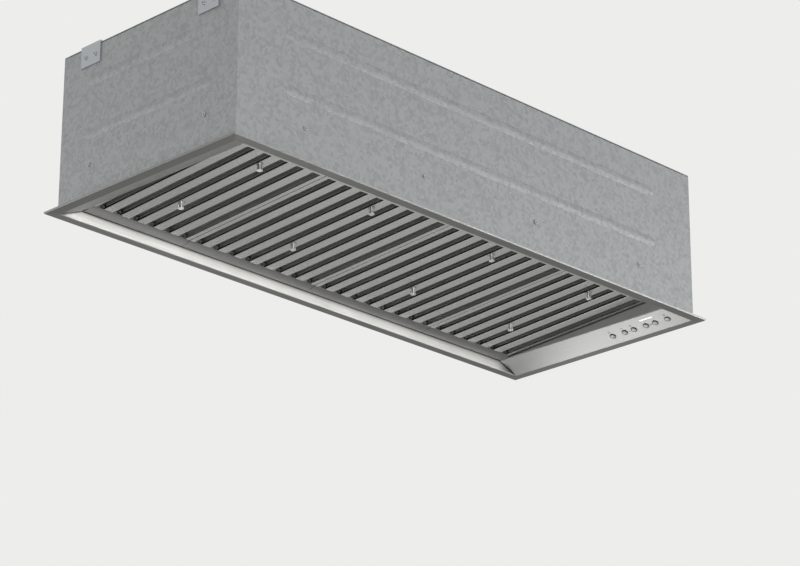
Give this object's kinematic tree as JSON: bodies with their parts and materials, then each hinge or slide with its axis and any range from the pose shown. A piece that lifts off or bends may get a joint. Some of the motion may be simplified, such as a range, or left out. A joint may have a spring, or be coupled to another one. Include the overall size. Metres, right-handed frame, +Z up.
{
  "type": "range hood insert",
  "caption": "Built-in range hood insert: brushed steel recess with baffle filters, side push buttons, front lamp strip, blower, and round duct collar with damper.",
  "frame": {"origin": "middle of the flange's lower face, which is the lowest plane of the part", "axes": "+X to the right and +Y to the wall for someone who faces the hob, +Z up"},
  "size_m": [1.18, 0.478, 0.3374],
  "materials": {
    "stainless": "brushed",
    "baffle_steel": "brushed",
    "polished_peg": "polished",
    "casing_steel": "satin",
    "fixing_steel": "satin",
    "spring_steel": "satin",
    "button_cap": "satin",
    "black_plastic": "matte",
    "board": "matte",
    "led_board": "matte",
    "window": "gloss",
    "diffuser": "satin",
    "aluminium": "satin",
    "wheel_steel": "satin",
    "motor_housing": "satin",
    "damper": "satin",
    "lead_sheath": "matte"
  },
  "bodies": {
    "hood": {"blower_screws": "fixing_steel", "blower_scroll": "casing_steel", "blower_side_plates": "casing_steel", "button_housing": "black_plastic", "cable_gland": "black_plastic", "casing_front": "casing_steel", "casing_left": "casing_steel", "casing_rear": "casing_steel", "casing_right": "casing_steel", "casing_screws": "fixing_steel", "casing_top": "casing_steel", "control_board": "board", "control_fascia": "stainless", "control_unit": "black_plastic", "damper_pin": "fixing_steel", "duct_collar": "casing_steel", "filter_clips": "spring_steel", "front_trim": "stainless", "hanging_brackets": "fixing_steel", "indicator_lens": "window", "lamp_board": "led_board", "lamp_driver": "aluminium", "lamp_housing": "aluminium", "lamp_lens": "diffuser", "left_trim": "stainless", "motor": "motor_housing", "motor_bracket": "fixing_steel", "rear_trim": "stainless", "terminal_box": "casing_steel", "wiring": "lead_sheath"},
    "filter_1": {"filter_1_frame": "stainless", "filter_1_gutter": "stainless", "filter_1_outer_baffles": "baffle_steel", "filter_1_inner_baffles": "baffle_steel", "filter_1_pegs": "polished_peg"},
    "filter_2": {"filter_2_frame": "stainless", "filter_2_gutter": "stainless", "filter_2_outer_baffles": "baffle_steel", "filter_2_inner_baffles": "baffle_steel", "filter_2_pegs": "polished_peg"},
    "filter_3": {"filter_3_frame": "stainless", "filter_3_gutter": "stainless", "filter_3_outer_baffles": "baffle_steel", "filter_3_inner_baffles": "baffle_steel", "filter_3_pegs": "polished_peg"},
    "filter_4": {"filter_4_frame": "stainless", "filter_4_gutter": "stainless", "filter_4_outer_baffles": "baffle_steel", "filter_4_inner_baffles": "baffle_steel", "filter_4_pegs": "polished_peg"},
    "button_1": {"button_1": "button_cap"},
    "button_2": {"button_2": "button_cap"},
    "button_3": {"button_3": "button_cap"},
    "button_4": {"button_4": "button_cap"},
    "button_5": {"button_5": "button_cap"},
    "button_6": {"button_6": "button_cap"},
    "fan": {"impeller": "wheel_steel", "motor_shaft": "fixing_steel"},
    "flap_front": {"damper_flap_front": "damper"},
    "flap_rear": {"damper_flap_rear": "damper"}
  },
  "joints": [
    {"name": "filter_1_drop", "type": "slide", "parent": "hood", "child": "filter_1", "axis": [0, 0, -1], "range_m": [0, 0.075]},
    {"name": "filter_2_drop", "type": "slide", "parent": "hood", "child": "filter_2", "axis": [0, 0, -1], "range_m": [0, 0.075]},
    {"name": "filter_3_drop", "type": "slide", "parent": "hood", "child": "filter_3", "axis": [0, 0, -1], "range_m": [0, 0.075]},
    {"name": "filter_4_drop", "type": "slide", "parent": "hood", "child": "filter_4", "axis": [0, 0, -1], "range_m": [0, 0.075]},
    {"name": "button_1_press", "type": "slide", "parent": "hood", "child": "button_1", "axis": [0.3783, 0, 0.9257], "range_m": [0, 0.0012], "stiffness_N_per_m": 600},
    {"name": "button_2_press", "type": "slide", "parent": "hood", "child": "button_2", "axis": [0.3783, 0, 0.9257], "range_m": [0, 0.0012], "stiffness_N_per_m": 600},
    {"name": "button_3_press", "type": "slide", "parent": "hood", "child": "button_3", "axis": [0.3783, 0, 0.9257], "range_m": [0, 0.0012], "stiffness_N_per_m": 600},
    {"name": "button_4_press", "type": "slide", "parent": "hood", "child": "button_4", "axis": [0.3783, 0, 0.9257], "range_m": [0, 0.0012], "stiffness_N_per_m": 600},
    {"name": "button_5_press", "type": "slide", "parent": "hood", "child": "button_5", "axis": [0.3783, 0, 0.9257], "range_m": [0, 0.0012], "stiffness_N_per_m": 600},
    {"name": "button_6_press", "type": "slide", "parent": "hood", "child": "button_6", "axis": [0.3783, 0, 0.9257], "range_m": [0, 0.0012], "stiffness_N_per_m": 600},
    {"name": "fan_spin", "type": "hinge", "parent": "hood", "child": "fan", "pos_m": [0, -0.08568, 0.18855], "axis": [1, 0, 0], "continuous": true},
    {"name": "flap_front_swing", "type": "hinge", "parent": "hood", "child": "flap_front", "pos_m": [0, 0, 0.3074], "axis": [-1, 0, 0], "range_deg": [0, 75]},
    {"name": "flap_rear_swing", "type": "hinge", "parent": "hood", "child": "flap_rear", "pos_m": [0, 0, 0.3074], "axis": [1, 0, 0], "range_deg": [0, 75]}
  ]
}
